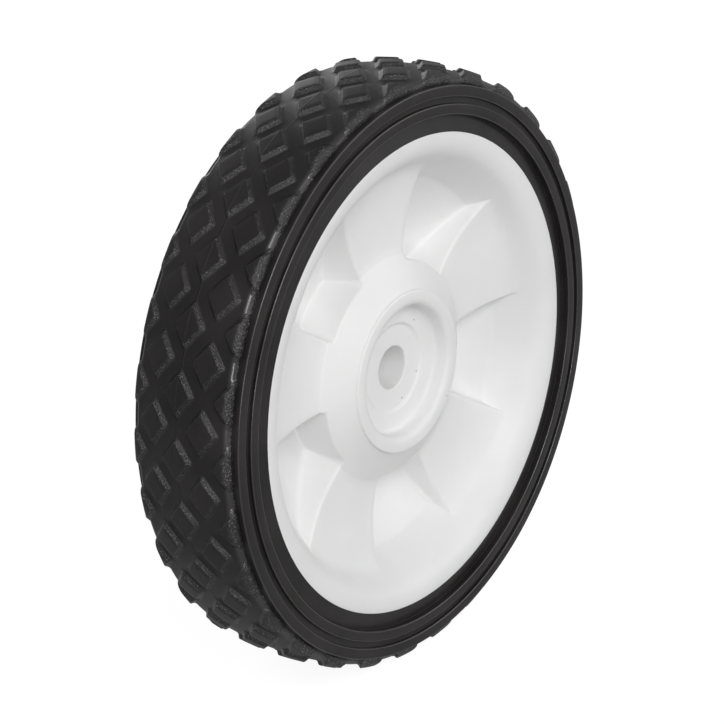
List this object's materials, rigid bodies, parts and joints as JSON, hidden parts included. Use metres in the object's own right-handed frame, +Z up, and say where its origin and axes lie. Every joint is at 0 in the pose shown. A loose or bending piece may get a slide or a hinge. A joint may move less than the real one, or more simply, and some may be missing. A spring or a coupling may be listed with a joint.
{
  "type": "mower wheel",
  "caption": "Small mower wheel with a white dished plastic hub, raised spokes and plain axle bore, and a black rubber tyre with a diamond block tread.",
  "frame": {"origin": "centre of the wheel: on the axle line, at the middle of the tread", "axes": "Y is the axle line and the dished face looks along -Y; Z is up as in the picture, X to the right when seen from the dished side"},
  "size_m": [0.1778, 0.0362, 0.1778],
  "materials": {
    "hub_plastic": "satin white moulded plastic",
    "tyre_rubber": "black moulded rubber with a dull sheen"
  },
  "bodies": {
    "root": {"hub": "hub_plastic", "tyre": "tyre_rubber"}
  },
  "joints": []
}
